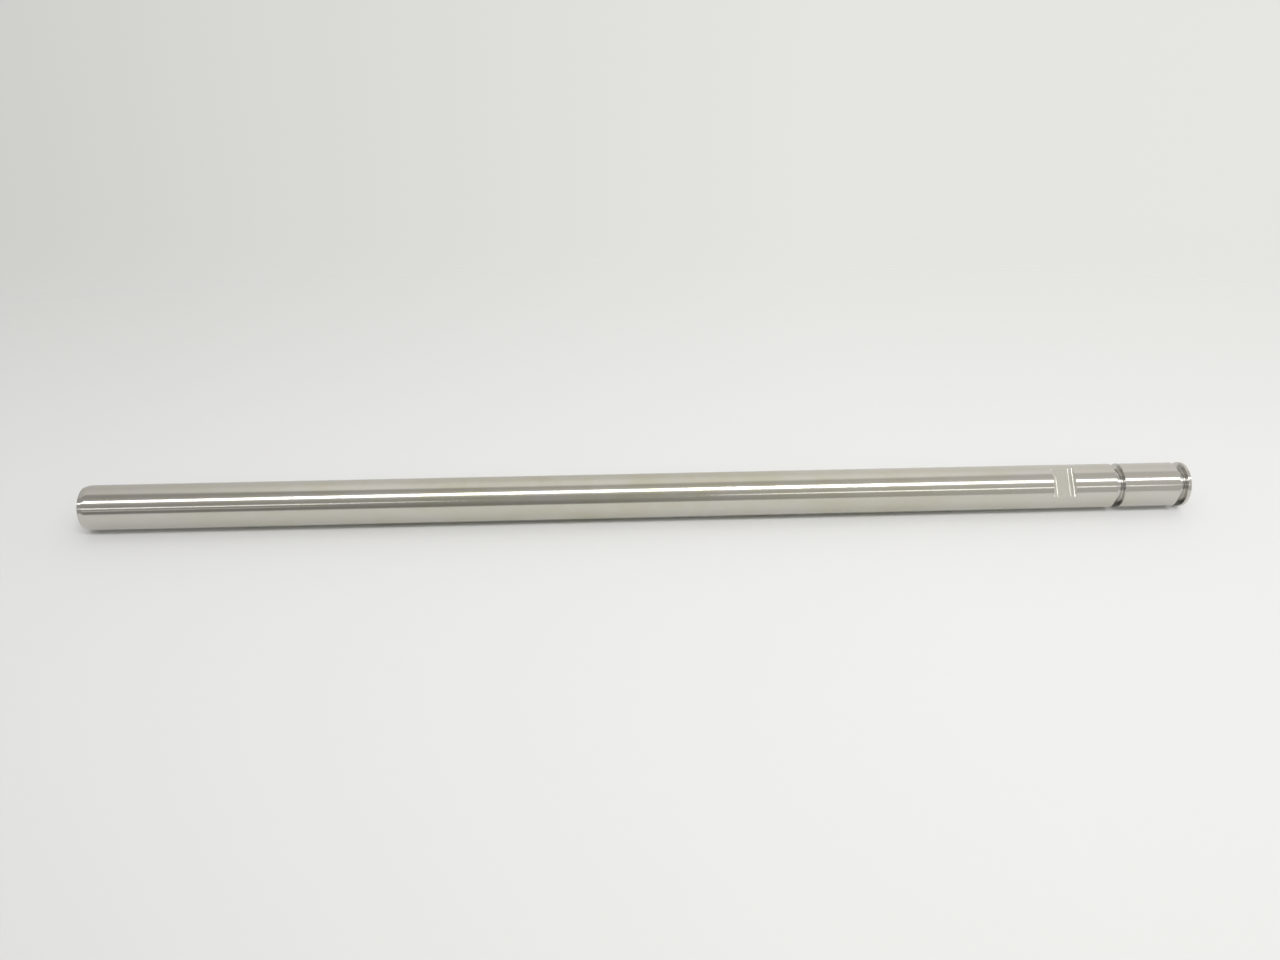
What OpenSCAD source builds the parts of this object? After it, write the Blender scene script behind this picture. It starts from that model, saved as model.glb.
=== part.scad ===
// Guide column: a straight ground rod that lies along X, with its fixing end at +X.
// The axis is one radius above the surface that the column lies on.

/* [Column] */
// Ground diameter, the same over the whole length
column_d = 25; // [22:0.5:40]
// Overall length
column_l = 611.5; // [300:0.5:1000]
// Chamfer where each end face meets the side
face_chamfer = 0.5; // [0.2:0.1:1]

/* [Lead-in] */
// Length of the taper that enters the bush first, end chamfer included
lead_l = 3.5; // [2:0.5:10]
// Slope of the taper from the axis, in degrees
lead_angle = 15; // [5:1:25]

/* [Ring grooves] */
// Width of each groove at its walls
groove_w = 4.4; // [2.5:0.1:6]
// Depth of each groove below the ground side
groove_depth = 3; // [1.5:0.1:4]
// Radius in the two corners at the bottom of a groove
groove_corner_r = 0.4; // [0.1:0.1:1]
// Chamfer that breaks the two rims of a groove
groove_break = 0.2; // [0.1:0.05:0.5]
// Length of the seat between the two grooves
seat_l = 31.6; // [10:0.2:80]
// Width of the lip outside the outer groove
lip_w = 2.2; // [1.6:0.1:6]

/* [Spanner flats] */
// Width across the two flats
flats_af = 19; // [14:0.5:21]
// Length of each flat along the column, its corners included
flats_l = 12.6; // [8:0.2:30]
// Radius in the corners where a flat runs up to its end walls
flats_corner_r = 0.4; // [0.2:0.1:3]
// Distance from the flats to the inner groove
flats_to_groove = 23.8; // [5:0.2:80]
// How far the upper flat looks up from the horizontal, in degrees
flats_turn = 45; // [0:1:90]

/* [End holes] */
// Tapping diameter of the thread in the fixing end
tap_d = 8.5; // [5:0.1:10.5]
// Depth of that hole at its full diameter, countersink included
tap_depth = 25; // [10:1:60]
// Radial width of the countersink at its mouth
tap_sink = 1; // [0.5:0.1:2]
// Pilot diameter of the lathe centre in the lead-in end
centre_d = 4; // [2:0.5:5]
// Mouth diameter of that centre
centre_mouth_d = 8.5; // [6:0.5:14]
// Depth of its pilot
centre_depth = 9; // [7:0.5:16]

/* [Hidden] */
$fn = 96;

column_r = column_d / 2;
lead_drop = lead_l * tan(lead_angle);
lead_end_r = column_r - lead_drop;

// Places along the column, measured from the lead-in end
outer_groove_at = column_l - lip_w - groove_w;
inner_groove_at = outer_groove_at - seat_l - groove_w;
flats_at = inner_groove_at - flats_to_groove - flats_l;

// Half angles of the drill tip and of the 60 degree centre
drill_tip = 59;
centre_cone = 30;
tap_r = tap_d / 2;
centre_r = centre_d / 2;
centre_mouth_r = centre_mouth_d / 2;
centre_cone_l = (centre_mouth_r - centre_r) / tan(centre_cone);

// What the cutters reach beyond the surface that they cut
overcut = 1;

// Outline of the turned blank as radius and length, from the axis outwards
module blank_section() {
    polygon([
        [0, 0],
        [lead_end_r - face_chamfer, 0],
        [lead_end_r + face_chamfer * tan(lead_angle), face_chamfer],
        [column_r, lead_l],
        [column_r, column_l - face_chamfer],
        [column_r - face_chamfer, column_l],
        [0, column_l]
    ]);
}

// One ring groove: straight walls, rounded bottom corners and broken rims
module groove_section() {
    bottom_r = column_r - groove_depth;
    translate([bottom_r + groove_corner_r, 0])
        square([groove_depth - groove_corner_r + overcut, groove_w]);
    translate([bottom_r, groove_corner_r])
        square([groove_depth, groove_w - 2 * groove_corner_r]);
    for (at = [groove_corner_r, groove_w - groove_corner_r])
        translate([bottom_r + groove_corner_r, at])
            circle(r = groove_corner_r);
    polygon([
        [column_r - groove_break, 0],
        [column_r + overcut, -groove_break - overcut],
        [column_r + overcut, groove_w + groove_break + overcut],
        [column_r - groove_break, groove_w]
    ]);
}

// Tapped hole seen from its mouth, with a countersink and a drilled tip
module tapped_hole_section() {
    polygon([
        [0, 0],
        [tap_r + tap_sink, 0],
        [tap_r, tap_sink],
        [tap_r, tap_depth],
        [0, tap_depth + tap_r / tan(drill_tip)]
    ]);
}

// Lathe centre seen from its mouth, with its cone, pilot and drilled tip
module centre_section() {
    polygon([
        [0, 0],
        [centre_mouth_r, 0],
        [centre_r, centre_cone_l],
        [centre_r, centre_depth],
        [0, centre_depth + centre_r / tan(drill_tip)]
    ]);
}

// Everything that the lathe makes, as one section turned about the axis
module turned_column() {
    rotate_extrude()
        difference() {
            blank_section();
            for (at = [inner_groove_at, outer_groove_at])
                translate([0, at])
                    groove_section();
            centre_section();
            translate([0, column_l])
                mirror([0, 1])
                    tapped_hole_section();
        }
}

// Path of the milling cutter along the column and outwards from the floor of a flat
module flat_section() {
    cut_h = (column_d - flats_af) / 2 + flats_corner_r + overcut;
    translate([flats_corner_r, 0])
        square([flats_l - 2 * flats_corner_r, cut_h]);
    translate([0, flats_corner_r])
        square([flats_l, cut_h - flats_corner_r]);
    for (at = [flats_corner_r, flats_l - flats_corner_r])
        translate([at, flats_corner_r])
            circle(r = flats_corner_r);
}

// Cutter for one flat, swept straight across the column
module flat_cutter() {
    translate([flats_at, flats_af / 2, 0])
        linear_extrude(height = column_d + 2 * overcut, center = true)
            flat_section();
}

module guide_column() {
    color([0.74, 0.73, 0.70])
        translate([-column_l / 2, 0, column_r])
            difference() {
                rotate([0, 90, 0])
                    turned_column();
                for (turn = [180 - flats_turn, -flats_turn])
                    rotate([turn, 0, 0])
                        flat_cutter();
            }
}

guide_column();
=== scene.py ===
import bpy
import math
from mathutils import Matrix, Vector


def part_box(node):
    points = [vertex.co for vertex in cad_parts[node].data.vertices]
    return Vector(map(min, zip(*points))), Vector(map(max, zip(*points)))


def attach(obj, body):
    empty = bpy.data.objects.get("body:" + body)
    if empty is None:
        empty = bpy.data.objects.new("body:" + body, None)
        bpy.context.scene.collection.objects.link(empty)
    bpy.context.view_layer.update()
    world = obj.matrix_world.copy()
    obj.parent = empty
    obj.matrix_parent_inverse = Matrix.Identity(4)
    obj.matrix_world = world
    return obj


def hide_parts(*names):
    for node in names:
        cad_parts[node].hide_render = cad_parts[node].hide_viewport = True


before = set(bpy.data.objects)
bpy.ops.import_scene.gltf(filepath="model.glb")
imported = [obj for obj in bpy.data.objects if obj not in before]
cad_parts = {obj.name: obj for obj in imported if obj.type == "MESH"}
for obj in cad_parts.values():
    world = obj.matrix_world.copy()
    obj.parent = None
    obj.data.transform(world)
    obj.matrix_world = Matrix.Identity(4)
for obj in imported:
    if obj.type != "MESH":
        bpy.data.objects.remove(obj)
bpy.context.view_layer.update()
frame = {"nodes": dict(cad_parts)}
scene = bpy.context.scene
scene.view_settings.view_transform = "Standard"
mm = 0.001
print("frame loaded:", ", ".join(frame["nodes"]))


class Wire:                                                # one socket of a node tree
    def __init__(self, tree, socket=None):
        self.tree = tree
        self.socket = socket

    # adds a node: its settings first, then a value or a link for each socket
    def node(self, kind, settings=None, sockets=None, out=0):
        made = self.tree.nodes.new(kind)
        for name, value in (settings or {}).items():
            if name == "stops":
                fillRamp(made.color_ramp, value)
            else:
                setattr(made, name, value)
        for name, value in (sockets or {}).items():
            if isinstance(value, Wire):
                self.tree.links.new(value.socket, made.inputs[name])
            else:
                made.inputs[name].default_value = value
        return Wire(self.tree, made.outputs[out] if len(made.outputs) else None)

    def out(self, name):                                   # another output of the same node
        return Wire(self.tree, self.socket.node.outputs[name])

    def math(self, operation, *terms):
        return self.node("ShaderNodeMath", {"operation": operation}, dict(enumerate(terms)))

    def __add__(self, other):
        return self.math("ADD", self, other)

    def __radd__(self, other):
        return self.math("ADD", other, self)

    def __sub__(self, other):
        return self.math("SUBTRACT", self, other)

    def __rsub__(self, other):
        return self.math("SUBTRACT", other, self)

    def __mul__(self, other):
        return self.math("MULTIPLY", self, other)

    def __rmul__(self, other):
        return self.math("MULTIPLY", other, self)

    def __truediv__(self, other):
        return self.math("DIVIDE", self, other)

    def __rtruediv__(self, other):
        return self.math("DIVIDE", other, self)

    def __lt__(self, other):
        return self.math("LESS_THAN", self, other)

    def __gt__(self, other):
        return self.math("GREATER_THAN", self, other)

    def __abs__(self):
        return self.math("ABSOLUTE", self)


def fillRamp(colourRamp, stops):                           # stops are (position, grey)
    while len(colourRamp.elements) > 1:
        colourRamp.elements.remove(colourRamp.elements[-1])
    for index, (position, grey) in enumerate(stops):
        stop = colourRamp.elements[0] if index == 0 else colourRamp.elements.new(position)
        stop.position = position
        stop.color = (grey, grey, grey, 1)


def ramp(wire, value, stops):                              # grey by value, held beyond the outer stops
    low, high = stops[0][0], stops[-1][0]
    shares = [((at - low) / (high - low), grey) for at, grey in stops]
    return wire.node("ShaderNodeValToRGB", {"stops": shares}, {"Fac": (value - low) / (high - low)})


def between(wire, value, low, high, kind="LINEAR"):        # 0 at low, 1 at high, held beyond them
    return wire.node("ShaderNodeMapRange", {"interpolation_type": kind},
                     {"Value": value, "From Min": low, "From Max": high})


def spread(pattern, low, high):                            # a 0 to 1 pattern brought to a range
    return pattern * (high - low) + low


def blendColours(wire, share, first, second):
    return wire.node("ShaderNodeMix", {"data_type": "RGBA"}, {0: share, 6: first, 7: second}, out=2)


def tinted(wire, colour, tint):
    return wire.node("ShaderNodeMix", {"data_type": "RGBA", "blend_type": "MULTIPLY"},
                     {0: 1.0, 6: colour, 7: tint}, out=2)


def streaks(wire, at, scale, detail, rough):               # noise stretched by the scale of each axis
    stretched = wire.node("ShaderNodeMapping", {}, {"Vector": at, "Scale": scale})
    return wire.node("ShaderNodeTexNoise", {},
                     {"Vector": stretched, "Scale": 1.0, "Detail": detail, "Roughness": rough})


def newMaterial(name):                                     # an empty material, and a wire to add its nodes
    material = bpy.data.materials.new(name)
    material.use_nodes = True
    material.node_tree.nodes.clear()
    return material, Wire(material.node_tree)


# camera, at the place that the column's edges and ends give in the photograph
viewPoint = {
    "place": (-31.54, -494.89, 320.64),                    # mm
    "down": 31.0,                                          # degrees below level
    "right": 3.203,                                        # degrees from straight ahead
    "tilt": 0.425,                                         # degrees
    "lens": 29.4,
    "sensor": 36.0,
    "clip": (0.01, 50),                                    # metres
}


def makeCamera():
    data = bpy.data.cameras.new("camera")
    data.sensor_width = viewPoint["sensor"]
    data.lens = viewPoint["lens"]
    data.clip_start, data.clip_end = viewPoint["clip"]
    camera = bpy.data.objects.new("camera", data)
    scene.collection.objects.link(camera)
    turn = (Matrix.Rotation(math.radians(-viewPoint["right"]), 4, "Z")
            @ Matrix.Rotation(math.radians(90 - viewPoint["down"]), 4, "X")
            @ Matrix.Rotation(math.radians(viewPoint["tilt"]), 4, "Z"))
    camera.matrix_world = Matrix.Translation(Vector(viewPoint["place"]) * mm) @ turn
    scene.camera = camera


makeCamera()
print("camera set")

# studio: a pale floor, a room that is darker in front, and soft lamps in front, most of them long and narrow
studio = {
    "floorSize": 8.0,                                      # metres
    # painted light falloff on the floor: its grey by metres from left to right, darker to the left where less
    # light falls
    "floor": ((-1.2, 0.752), (-0.35, 0.782), (-0.12, 0.824), (0, 0.845), (0.15, 0.866), (0.4, 0.870)),
    "floorTint": (0.994, 1.0, 1.0, 1),
    "floorGrain": 900.0,
    "floorDetail": 3.0,
    "floorRoughness": (0.75, 0.9),
    "floorGloss": 0.2,
    "fadeFrom": 0.03,                                      # metres across the column where it starts to fade
    "fadeTo": 0.62,                                        # and where the room has taken its place
    "fadeAlong": 0.4,                                      # metres along the column count this much
    # grey of the room below the horizon, by direction from left to right, where it stands for the far floor:
    # painted light falloff, darker to the left
    "farFloor": ((-0.75, 0.6), (-0.5, 0.61), (-0.3, 0.68), (0, 0.745), (0.2, 0.78), (0.5, 0.79)),
    "farFloorTint": (1.0, 0.998, 0.965, 1),
    "horizon": 0.09,                                       # how soon that takes over below it
    "roomTint": (1.0, 0.987, 0.955, 1),
}
room = {
    # by direction from left to right, greys and one angle in degrees:
    # low front, front, glow round the long lamp, ceiling, its edge, back, far back
    -0.92: (0.47, 0.47, 0.47, 0.47, 95, 0.47, 0.47),
    -0.75: (0.33, 0.37, 0.40, 0.41, 95, 0.60, 0.58),
    -0.43: (0.25, 0.36, 0.51, 0.38, 97, 0.70, 0.60),
    -0.26: (0.26, 0.39, 0.58, 0.43, 92, 0.90, 0.66),
    0.0: (0.28, 0.44, 0.71, 0.52, 90, 0.92, 0.68),
    0.30: (0.52, 0.59, 0.70, 0.60, 95, 0.98, 0.80),
    0.43: (0.56, 0.60, 0.70, 0.64, 100, 0.91, 0.80),
    0.85: (0.74, 0.74, 0.74, 0.74, 95, 0.74, 0.74),
}
lamps = {
    # up and tilt in degrees, away from the middle, centre from left to right and size in metres
    "frontStrip": {"up": 60.5, "away": 2.2, "centre": 0.1, "size": (4.4, 0.46), "watts": 16.6, "tilt": 0.6},
    "frontKey": {"up": 60.4, "away": 2.15, "centre": 0.55, "size": (0.66, 0.26), "watts": 7.2},
    "sideStrip": {"up": 61.0, "away": 2.2, "centre": -3.2, "size": (2.0, 0.22), "watts": 4.0, "square": True},
    "leftLine": {"up": 27.3, "away": 1.5, "centre": -1.5, "size": (2.4, 0.075), "watts": 0.96},
    "lowLine": {"up": 15.5, "away": 1.5, "centre": -1.2, "size": (1.3, 0.12), "watts": 0.15},
    "rightLine": {"up": 27.8, "away": 1.5, "centre": 0.7, "size": (1.0, 0.07), "watts": 0.40},
}


def makeFloor():
    half = studio["floorSize"] / 2
    corners = [(-half, -half, 0), (half, -half, 0), (half, half, 0), (-half, half, 0)]
    mesh = bpy.data.meshes.new("floor")
    mesh.from_pydata(corners, [], [(0, 1, 2, 3)])
    floor = bpy.data.objects.new("floor", mesh)
    scene.collection.objects.link(floor)
    material, wire = newMaterial("paleFloor")
    at = wire.node("ShaderNodeTexCoord", out="Object")
    place = wire.node("ShaderNodeSeparateXYZ", {}, {0: at})
    # the floor's grey carries painted light falloff, darker to the left
    colour = tinted(wire, ramp(wire, place.out("X"), studio["floor"]), studio["floorTint"])
    grain = wire.node("ShaderNodeTexNoise", {}, {
        "Vector": at, "Scale": studio["floorGrain"], "Detail": studio["floorDetail"]})
    shade = wire.node("ShaderNodeBsdfPrincipled", {}, {
        "Base Color": colour,
        "Roughness": spread(grain, *studio["floorRoughness"]),
        "Specular IOR Level": studio["floorGloss"]})

    # away from the column it fades into the room, for the camera and for what the steel mirrors
    along, across = place.out("X") * studio["fadeAlong"], place.out("Y")
    reach = wire.math("SQRT", along * along + across * across)
    far = between(wire, reach, studio["fadeFrom"], studio["fadeTo"], "SMOOTHSTEP")
    ray = wire.node("ShaderNodeLightPath")
    seen = ray.out("Is Camera Ray") + ray.out("Is Glossy Ray") + ray.out("Is Transmission Ray")
    gone = far * wire.math("MINIMUM", seen, 1.0)
    clear = wire.node("ShaderNodeBsdfTransparent")
    faded = wire.node("ShaderNodeMixShader", {}, {0: gone, 1: shade, 2: clear})
    wire.node("ShaderNodeOutputMaterial", {}, {"Surface": faded})
    mesh.materials.append(material)


def roomStops(lowFront, front, glow, ceiling, edge, back, farBack):
    return ((0, lowFront), (9, lowFront),                  # degrees over the top, a line for each band
            (25, front), (42, front),
            (50, glow), (66, glow),
            (79, ceiling), (edge, ceiling),
            (edge + 8, back), (115, back),
            (141, (back + 2 * farBack) / 3), (180, farBack))


def makeRoom():
    world = bpy.data.worlds.new("room")
    world.use_nodes = True
    world.node_tree.nodes.clear()
    scene.world = world
    wire = Wire(world.node_tree)
    way = wire.node("ShaderNodeSeparateXYZ", {}, {0: wire.node("ShaderNodeTexCoord", out="Generated")})
    aside, up = way.out("X"), way.out("Z")

    # degrees over the top: 0 in front, 90 overhead, 180 behind
    height = wire.math("ARCTAN2", abs(up), 0 - way.out("Y")) * (180 / math.pi)
    places = list(room)
    glow = ramp(wire, height, roomStops(*room[places[0]]))
    for before, place in zip(places, places[1:]):
        share = between(wire, aside, before, place)
        glow = blendColours(wire, share, glow, ramp(wire, height, roomStops(*room[place])))
    glow = tinted(wire, glow, studio["roomTint"])
    # the far floor's painted light falloff, darker to the left
    farFloor = tinted(wire, ramp(wire, aside, studio["farFloor"]), studio["farFloorTint"])
    below = between(wire, up, 0.0, -studio["horizon"])
    shown = blendColours(wire, below, glow, farFloor)
    light = wire.node("ShaderNodeBackground", {}, {"Color": shown, "Strength": 1.0})
    wire.node("ShaderNodeOutputWorld", {}, {"Surface": light})


def makeLamps():
    for name, lamp in lamps.items():
        data = bpy.data.lights.new(name, "AREA")
        data.shape = "RECTANGLE" if lamp.get("square") else "ELLIPSE"
        data.size, data.size_y = lamp["size"]
        data.energy = lamp["watts"]
        made = bpy.data.objects.new(name, data)
        made.visible_camera = False
        scene.collection.objects.link(made)
        up, away = math.radians(lamp["up"]), lamp["away"]
        made.matrix_world = (Matrix.Translation((lamp["centre"], -away * math.cos(up), away * math.sin(up)))
                             @ Matrix.Rotation(math.pi / 2 - up, 4, "X")
                             @ Matrix.Rotation(math.radians(lamp.get("tilt", 0)), 4, "Z"))


makeFloor()
makeRoom()
makeLamps()
print("studio lit by", len(lamps), "lamps and the room")

# the column, in mm along it from its middle and out from its axis
column = {
    "faceChamfer": 0.5,
    "leadLength": 3.5,
    "leadSlope": 15.0,                                     # degrees
    "leadBlend": 1.0,                                      # on each side of the edge where the taper begins
    "grooveWidth": 4.4,
    "grooveDepth": 3.0,
    "grooveCorner": 0.4,
    "grooveBreak": 0.2,
    "seatLength": 31.6,
    "lipWidth": 2.2,
    "flatsAcross": 19.0,
    "flatsLength": 12.6,
    "flatsCorner": 0.4,
    "flatsToGroove": 23.8,
    "flatsTurn": 45.0,                                     # degrees that the upper flat looks up
    "passInset": 2.6,                                      # from an end wall to the line of a cutter's pass
    "passWidth": 0.8,
    "passHeight": 0.11,
    "tapRadius": 4.25,
    "tapDepth": 25.0,
    "tapSink": 1.0,
    "threadDepth": 0.75,
    "threadPitch": 1.5,
    "threadTurns": 9,
    "threadSteps": 8,                                      # stations for each turn
    "threadCrest": 0.8,                                    # share of a sharp tooth that is left
    "threadRound": 0.2,                                    # and how softly its crest is rounded
    "centreRadius": 2.0,
    "centreMouth": 4.25,
    "centreDepth": 9.0,
    "centreSlope": 30.0,                                   # degrees
    "drillSlope": 59.0,                                    # degrees
    "ringSegments": 360,
    "breakColumn": 40,                                     # column of the ring that follows a flat's edge
    "cornerSteps": 10,
    "easeLength": 6.0,                                     # where the columns ease back beside a flat
    "sharpAngle": 12.0,                                    # degrees
    "cutSkin": 0.04,                                       # faces below this depth have been cut
    "flatsMargin": 0.01,                                   # takes in the faces of a flat's end walls
    "weld": 0.0015,                                        # closes the ring's seam and both tips
}
# where no flat is near, the break column has an even share of the ring, and the floor is too far out to cut
evenEdge = 2 * math.pi * column["breakColumn"] / column["ringSegments"]
noFlat = 1000.0

# finishes: bare steel, each with the marks of the tool that cut it
noiseMiddle = (0.35, 0.65)                                 # most of a noise pattern lies between these
markDepth = 0.02                                           # mm
groundFinish = {
    # patterns: scale along each axis, detail, roughness
    "lines": ((3200, 14, 14), 3.0, 0.6),                   # grinding lines run round the column
    "bands": ((160, 3, 3), 2.0, 0.5),
    "clouds": ((38, 60, 60), 4.0, 0.6),
    "warm": (0.574, 0.556, 0.455, 1),                      # the two tones of its cloudy patches
    "cool": (0.621, 0.600, 0.555, 1),
    "ends": (0.61, 0.588, 0.56, 1),                        # the tone that they pass into towards both ends
    "endReach": 1.2,                                       # in half lengths, where that tone would be full
    "smooth": 0.08,                                        # roughness, and what each pattern adds to it
    "fromLines": 0.03,
    "fromBands": 0.02,
    "fromClouds": 0.03,
    "bump": 0.15,
}
turnedFinish = {
    "lines": ((5200, 5200, 0.6), 2.0, 0.55),               # the tool's feed lines, on floors and on faces
    "rings": ((900, 900, 0.5), 3.0, 0.5),
    "dark": (0.545, 0.53, 0.50, 1),
    "light": (0.625, 0.61, 0.58, 1),
    "smooth": 0.11,
    "fromLines": 0.08,
    "fromRings": 0.06,
    "bump": 0.3,
}
milledFinish = {
    "lines": ((2600, 60, 60), 2.0, 0.55),                  # the cutter's path runs across the column
    "clouds": ((220, 220, 220), 3.0, 0.5),
    "dark": (0.57, 0.555, 0.51, 1),
    "light": (0.61, 0.595, 0.55, 1),
    "wall": (0.82, 0.80, 0.76, 1),                         # end walls, with a painted highlight that makes them brighter
    "wallReach": 0.02,                                     # mm
    "wallShine": 0.65,
    "bendReach": 0.8,                                      # in corner radii, the brightest line of a corner
    "wornFrom": 1.0,                                       # mm up the flat, where the left line wears away
    "wornTo": 5.0,
    "wornRight": 0.3,                                      # how worn the right one is, all along
    "smooth": 0.18,                                        # roughness on the bright lines and between them
    "matt": 0.7,
    "fromLines": 0.08,
    "fromClouds": 0.05,
    "bump": 0.3,
}


def bareSteel(material, wire, colour, roughness, lines, bump):
    marks = wire.node("ShaderNodeBump", {}, {"Height": lines, "Strength": bump, "Distance": markDepth * mm})
    shade = wire.node("ShaderNodeBsdfPrincipled", {}, {
        "Base Color": colour, "Metallic": 1.0, "Roughness": roughness, "Normal": marks})
    wire.node("ShaderNodeOutputMaterial", {}, {"Surface": shade})
    return material


def groundSteel(half):                                     # the long side, ground round and polished
    f = groundFinish
    material, wire = newMaterial("groundSteel")
    at = wire.node("ShaderNodeTexCoord", out="Object")
    lines = streaks(wire, at, *f["lines"])
    bands = streaks(wire, at, *f["bands"])
    clouds = streaks(wire, at, *f["clouds"])
    patches = between(wire, clouds, *noiseMiddle)
    toEnd = abs(wire.node("ShaderNodeSeparateXYZ", {}, {0: at}).out("X")) / (f["endReach"] * half * mm)
    colour = blendColours(wire, patches, f["warm"], f["cool"])
    colour = blendColours(wire, toEnd * toEnd, colour, f["ends"])
    roughness = f["smooth"] + f["fromLines"] * lines + f["fromBands"] * bands + f["fromClouds"] * clouds
    return bareSteel(material, wire, colour, roughness, lines, f["bump"])


def turnedSteel(axisHeight):                               # grooves, end faces and holes, from the lathe
    f = turnedFinish
    material, wire = newMaterial("turnedSteel")
    at = wire.node("ShaderNodeSeparateXYZ", {}, {0: wire.node("ShaderNodeTexCoord", out="Object")})
    side, height = at.out("Y"), at.out("Z") - axisHeight
    reach = wire.math("SQRT", side * side + height * height)
    around = wire.math("ARCTAN2", side, height)
    feed = wire.node("ShaderNodeCombineXYZ", {}, {"X": at.out("X"), "Y": reach, "Z": around})
    lines = streaks(wire, feed, *f["lines"])
    rings = between(wire, streaks(wire, feed, *f["rings"]), *noiseMiddle)
    colour = blendColours(wire, rings, f["dark"], f["light"])
    roughness = f["smooth"] + f["fromLines"] * lines + f["fromRings"] * rings
    return bareSteel(material, wire, colour, roughness, lines, f["bump"])


def milledSteel(middle, axisHeight):                       # the spanner flats, with the cutter's lines
    c, f = column, milledFinish
    material, wire = newMaterial("milledSteel")
    at = wire.node("ShaderNodeTexCoord", out="Object")
    lines = streaks(wire, at, *f["lines"])
    clouds = streaks(wire, at, *f["clouds"])
    place = wire.node("ShaderNodeSeparateXYZ", {}, {0: at})
    along = place.out("X") - middle * mm
    fromWall = c["flatsLength"] / 2 * mm - abs(along)
    wall = fromWall < f["wallReach"] * mm
    colour = blendColours(wire, clouds, f["dark"], f["light"])
    # a painted highlight on the end walls, set in their colour
    colour = blendColours(wire, wall, colour, f["wall"])

    # bright in the corner below each wall, and on the line of each pass, which is worn away in part
    bend = abs(fromWall / (f["bendReach"] * c["flatsCorner"] * mm) - 1)
    line = abs(fromWall - c["passInset"] * mm) / (c["passWidth"] / 2 * mm)
    turn = math.radians(c["flatsTurn"])
    climb = place.out("Y") * math.sin(turn) + (place.out("Z") - axisHeight) * math.cos(turn)
    fade = between(wire, climb, f["wornFrom"] * mm, f["wornTo"] * mm)
    worn = wire.math("MAXIMUM", (along < 0) * fade, (along > 0) * f["wornRight"])
    matt = wire.math("MINIMUM", wire.math("MAXIMUM", line, worn), bend * bend)
    matt = wire.math("MINIMUM", matt, 1 - f["wallShine"] * wall)
    roughness = spread(matt, f["smooth"], f["matt"]) + f["fromLines"] * lines + f["fromClouds"] * clouds
    return bareSteel(material, wire, colour, roughness, lines, f["bump"])


def quarterTurn(steps):                                    # sine and cosine over a quarter turn
    return [(math.sin(math.pi / 2 * i / steps), math.cos(math.pi / 2 * i / steps)) for i in range(steps + 1)]


# stations of the section, from the bottom of the lathe centre round to the bottom of the tapped hole
def columnSection(radius, half):
    c = column
    steps = c["cornerSteps"]
    stations = []

    def add(along, out, flatFloor=noFlat, flatEdge=evenEdge, thread=0.0):
        stations.append({"along": along * mm, "out": out * mm, "flatFloor": flatFloor * mm,
                         "flatEdge": flatEdge, "thread": thread})

    # lathe centre, end face and taper
    coneLength = (c["centreMouth"] - c["centreRadius"]) / math.tan(math.radians(c["centreSlope"]))
    add(-half + c["centreDepth"] + c["centreRadius"] / math.tan(math.radians(c["drillSlope"])), 0)
    add(-half + c["centreDepth"], c["centreRadius"])
    add(-half + coneLength, c["centreRadius"])
    add(-half, c["centreMouth"])
    slope = math.tan(math.radians(c["leadSlope"]))
    leadEnd = radius - c["leadLength"] * slope
    add(-half, leadEnd - c["faceChamfer"])
    add(-half + c["faceChamfer"], leadEnd + c["faceChamfer"] * slope)
    for i in range(steps + 1):
        share, reach = i / steps, c["leadBlend"]
        add(-half + c["leadLength"] + reach * (2 * share - 1), radius - reach * slope * (1 - share) ** 2)

    # flats: outside each wall the ring's edge eases back, and inside it come the corner and the pass
    outerGroove = half - c["lipWidth"] - c["grooveWidth"]
    innerGroove = outerGroove - c["seatLength"] - c["grooveWidth"]
    flatsEnd = innerGroove - c["flatsToGroove"]
    flatsStart = flatsEnd - c["flatsLength"]
    rounding, floor = c["flatsCorner"], c["flatsAcross"] / 2
    wallEdge = math.acos((floor + rounding) / radius)
    ease = []
    for i in range(steps + 1):
        share = i / steps
        smooth = share * share * (3 - 2 * share)
        ease.append((c["easeLength"] * share, evenEdge + (wallEdge - evenEdge) * (1 - smooth)))
    rise = [(rounding * (1 - cosine), floor + rounding * (1 - sine)) for sine, cosine in quarterTurn(steps)]
    for i in range(steps + 1):
        share = 2 * i / steps - 1
        rise.append((c["passInset"] + c["passWidth"] / 2 * share,
                     floor + c["passHeight"] * math.cos(math.pi / 2 * share) ** 2))
    for away, edge in reversed(ease):
        add(flatsStart - away, radius, noFlat, edge)
    for away, level in rise:
        add(flatsStart + away, radius, level, math.acos(level / radius))
    for away, level in reversed(rise):
        add(flatsEnd - away, radius, level, math.acos(level / radius))
    for away, edge in ease:
        add(flatsEnd + away, radius, noFlat, edge)

    # ring grooves
    bottom, bend, rim = radius - c["grooveDepth"], c["grooveCorner"], c["grooveBreak"]
    for start in (innerGroove, outerGroove):
        end = start + c["grooveWidth"]
        add(start - rim, radius)
        add(start, radius - rim)
        for sine, cosine in quarterTurn(steps):
            add(start + bend * (1 - cosine), bottom + bend * (1 - sine))
        for sine, cosine in reversed(quarterTurn(steps)):
            add(end - bend * (1 - cosine), bottom + bend * (1 - sine))
        add(end, radius - rim)
        add(end + rim, radius)

    # fixing end and its tapped hole, where the thread runs in and out over one turn
    add(half - c["faceChamfer"], radius)
    add(half, radius - c["faceChamfer"])
    add(half, c["tapRadius"] + c["tapSink"])
    add(half - c["tapSink"], c["tapRadius"])
    for i in range(1, c["threadTurns"] * c["threadSteps"]):
        turns = i / c["threadSteps"]
        full = min(1, turns, c["threadTurns"] - turns)
        add(half - c["tapSink"] - c["threadPitch"] * turns, c["tapRadius"], thread=full)
    add(half - c["tapDepth"], c["tapRadius"])
    add(half - c["tapDepth"] - c["tapRadius"] / math.tan(math.radians(c["drillSlope"])), 0)
    return stations, (flatsStart, flatsEnd, innerGroove)


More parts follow.
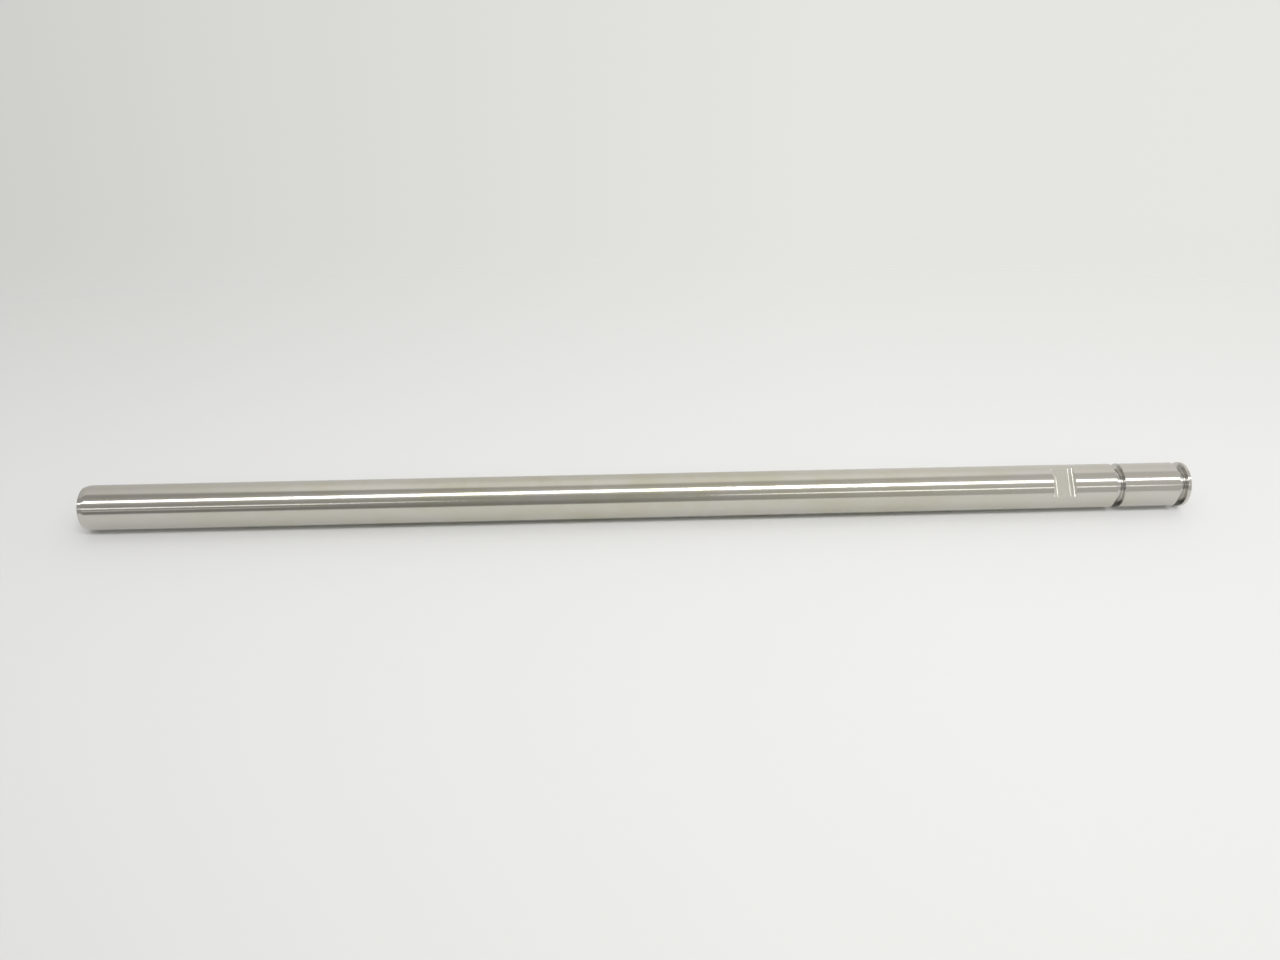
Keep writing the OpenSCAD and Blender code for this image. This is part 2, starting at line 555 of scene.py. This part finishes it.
def sectionMesh(stations):
    mesh = bpy.data.meshes.new("columnSection")
    mesh.from_pydata([(station["along"], 0, station["out"]) for station in stations],
                     [(i, i + 1) for i in range(len(stations) - 1)], [])
    for name in ("flatFloor", "flatEdge", "thread"):
        attribute = mesh.attributes.new(name, "FLOAT", "POINT")
        attribute.data.foreach_set("value", [station[name] for station in stations])
    return mesh


# turns the section about the axis, cuts the flats into it and gives each face its finish
def turningTree(values, groundMetal, turnedMetal, milledMetal):
    tree = bpy.data.node_groups.new("turnedColumn", "GeometryNodeTree")
    tree.interface.new_socket("Section", in_out="INPUT", socket_type="NodeSocketGeometry")
    for name, value in values.items():
        kind = "NodeSocketInt" if isinstance(value, int) else "NodeSocketFloat"
        tree.interface.new_socket(name, in_out="INPUT", socket_type=kind)
    tree.interface.new_socket("Column", in_out="OUTPUT", socket_type="NodeSocketGeometry")
    given = Wire(tree).node("NodeGroupInput")
    section, segments = given.out("Section"), given.out("Ring Segments")

    # a grid with one row for each station and one column for each step round the ring
    count = given.node("GeometryNodeAttributeDomainSize", {"component": "MESH"}, {"Geometry": section})
    columns = segments + 1
    grid = given.node("GeometryNodeMeshGrid", {}, {
        "Vertices X": count, "Vertices Y": columns, "Size X": 1.0, "Size Y": 1.0})
    index = given.node("GeometryNodeInputIndex")
    row = given.math("FLOOR", index / columns)
    angle = (index - row * columns) * (2 * math.pi) / segments

    def station(name):                                     # a value of this row's station
        value = given.node("GeometryNodeInputNamedAttribute", {"data_type": "FLOAT"}, {"Name": name})
        return given.node("GeometryNodeSampleIndex", {"data_type": "FLOAT", "domain": "POINT"},
                          {"Geometry": section, "Value": value, "Index": row})

    place = given.node("GeometryNodeSampleIndex", {"data_type": "FLOAT_VECTOR", "domain": "POINT"},
                       {"Geometry": section, "Value": given.node("GeometryNodeInputPosition"), "Index": row})
    at = given.node("ShaderNodeSeparateXYZ", {}, {0: place})
    along, out = at.out("X"), at.out("Z")

    # the thread climbs one pitch for each turn
    threadShare = station("thread")
    climb = given.math("FRACT", along / given.out("Thread Pitch") + angle / (2 * math.pi))
    tooth = given.math("SMOOTH_MIN", 1 - abs(2 * climb - 1), column["threadCrest"], column["threadRound"])
    reach = out + threadShare * given.out("Thread Depth") * tooth

    # columns of the ring move so that one follows the edge of each flat
    across, beside = given.math("COSINE", angle), given.math("SINE", angle)
    fold = given.math("ARCTAN2", abs(beside), abs(across))
    even, edge = given.out("Even Edge"), station("flatEdge")
    inside = fold < even
    outer = math.pi / 2 - (math.pi / 2 - fold) * (math.pi / 2 - edge) / (math.pi / 2 - even)
    turned = inside * (fold * edge / even) + (1 - inside) * outer
    lean = given.math("COSINE", turned)
    cut = station("flatFloor") / given.math("MAXIMUM", lean, 0.0001)  # never divided by 0
    reach = given.math("MINIMUM", reach, cut)
    across = given.math("SIGN", across) * lean * reach
    beside = given.math("SIGN", beside) * given.math("SINE", turned) * reach
    turn = given.out("Flats Turn")
    level, steep = given.math("COSINE", turn), given.math("SINE", turn)
    point = given.node("ShaderNodeCombineXYZ", {}, {
        "X": along,
        "Y": beside * steep - across * level,
        "Z": given.out("Axis Height") + across * steep + beside * level})
    shape = given.node("GeometryNodeStoreNamedAttribute", {"data_type": "FLOAT", "domain": "POINT"},
                       {"Geometry": grid, "Name": "thread", "Value": threadShare})
    shape = given.node("GeometryNodeSetPosition", {}, {"Geometry": shape, "Position": point})
    shape = given.node("GeometryNodeMergeByDistance", {}, {"Geometry": shape, "Distance": given.out("Weld")})

    # smooth, but for the corners that a cutter leaves outside the thread
    bend = given.node("GeometryNodeInputMeshEdgeAngle") > given.out("Sharp Angle")
    share = given.node("GeometryNodeInputNamedAttribute", {"data_type": "FLOAT"}, {"Name": "thread"})
    onThread = share > 0
    shape = given.node("GeometryNodeSetShadeSmooth", {"domain": "FACE"}, {
        "Geometry": shape, "Shade Smooth": True})
    shape = given.node("GeometryNodeSetShadeSmooth", {"domain": "EDGE"}, {
        "Geometry": shape, "Selection": bend * (1 - onThread), "Shade Smooth": False})
    shape = given.node("GeometryNodeRealizeInstances", {}, {"Geometry": shape})

    # one finish for each kind of cut, by where a face lies
    here = given.node("ShaderNodeSeparateXYZ", {}, {0: given.node("GeometryNodeInputPosition")})
    faceAlong, faceSide = here.out("X"), here.out("Y")
    faceHeight = here.out("Z") - given.out("Axis Height")
    faceReach = given.math("SQRT", faceSide * faceSide + faceHeight * faceHeight)
    below = faceReach < given.out("Column Radius") - given.out("Cut Skin")
    atEnd = abs(faceAlong) > given.out("Half Length") - given.out("Face Chamfer")
    inHole = faceReach < given.out("Hole Radius")
    turnedFace = atEnd + inHole + below * (faceAlong > given.out("Grooves Start"))
    milledFace = below * (faceAlong > given.out("Flats Start")) * (faceAlong < given.out("Flats End"))
    shape = given.node("GeometryNodeSetMaterial", {}, {"Geometry": shape, "Material": groundMetal})
    for chosen, metal in ((turnedFace, turnedMetal), (milledFace, milledMetal)):
        shape = given.node("GeometryNodeSetMaterial", {}, {
            "Geometry": shape, "Selection": chosen, "Material": metal})
    given.node("NodeGroupOutput", {}, {"Column": shape})
    return tree


def makeColumn():
    low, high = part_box("guide_column")
    radius, half = (high.z - low.z) / 2 / mm, (high.x - low.x) / 2 / mm
    axisHeight = low.z + radius * mm
    stations, (flatsStart, flatsEnd, groovesStart) = columnSection(radius, half)
    metals = (groundSteel(half), turnedSteel(axisHeight),
              milledSteel((flatsStart + flatsEnd) / 2, axisHeight))
    print("finishes made:", ", ".join(metal.name for metal in metals))
    values = {
        "Ring Segments": column["ringSegments"],
        "Column Radius": radius * mm,
        "Half Length": half * mm,
        "Axis Height": axisHeight,
        "Flats Turn": math.radians(column["flatsTurn"]),
        "Flats Start": (flatsStart - column["flatsMargin"]) * mm,
        "Flats End": (flatsEnd + column["flatsMargin"]) * mm,
        "Grooves Start": (groovesStart - column["grooveBreak"]) * mm,
        "Even Edge": evenEdge,
        "Thread Depth": column["threadDepth"] * mm,
        "Thread Pitch": column["threadPitch"] * mm,
        "Face Chamfer": column["faceChamfer"] * mm,
        "Hole Radius": (column["tapRadius"] + column["tapSink"]) * mm,
        "Cut Skin": column["cutSkin"] * mm,
        "Sharp Angle": math.radians(column["sharpAngle"]),
        "Weld": column["weld"] * mm,
    }
    tree = turningTree(values, *metals)
    draft = bpy.data.objects.new("columnDraft", sectionMesh(stations))
    scene.collection.objects.link(draft)
    turning = draft.modifiers.new("turning", "NODES")
    turning.node_group = tree
    for item in tree.interface.items_tree:
        if item.name in values:
            turning[item.identifier] = values[item.name]
    bpy.context.view_layer.update()
    made = bpy.data.meshes.new_from_object(draft.evaluated_get(bpy.context.evaluated_depsgraph_get()))
    made.name = "groundColumn"
    for slot in reversed(range(len(made.materials))):      # the bare section leaves an empty slot
        if made.materials[slot] is None:
            made.materials.pop(index=slot)
    bpy.data.objects.remove(draft)
    piece = bpy.data.objects.new("groundColumn", made)
    scene.collection.objects.link(piece)
    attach(piece, "root")
    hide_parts("guide_column")
    print("column turned:", len(made.vertices), "points,", len(made.polygons), "faces,",
          len(made.materials), "finishes")


makeColumn()
